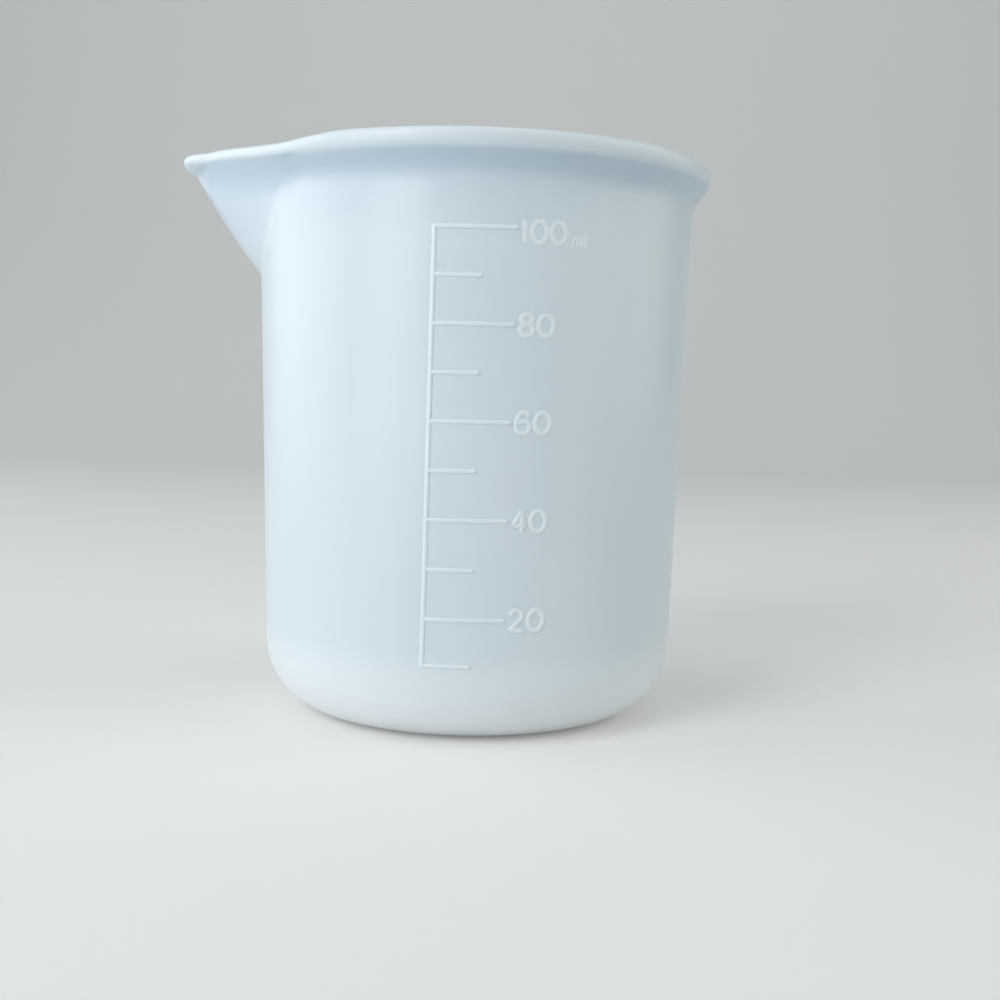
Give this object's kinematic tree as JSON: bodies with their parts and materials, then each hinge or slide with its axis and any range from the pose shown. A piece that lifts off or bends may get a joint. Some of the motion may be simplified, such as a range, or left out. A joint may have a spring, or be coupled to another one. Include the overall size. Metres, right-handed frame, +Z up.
{
  "type": "resin mixing cup",
  "caption": "Small flexible beaker for mixing liquids: drafted round wall, flared rim with a rounded bead, a pouring spout and a raised volume scale.",
  "frame": {"origin": "centre of the flat base, on the surface that the cup stands on", "axes": "+Z up along the cup's axis, -X towards the spout, -Y towards the scale"},
  "size_m": [0.0656, 0.0582, 0.0682],
  "materials": {
    "silicone": "soft satin, milky bluish white, slightly translucent"
  },
  "bodies": {
    "root": {"cup_body": "silicone", "scale_line": "silicone", "long_marks": "silicone", "short_marks": "silicone"}
  },
  "joints": []
}
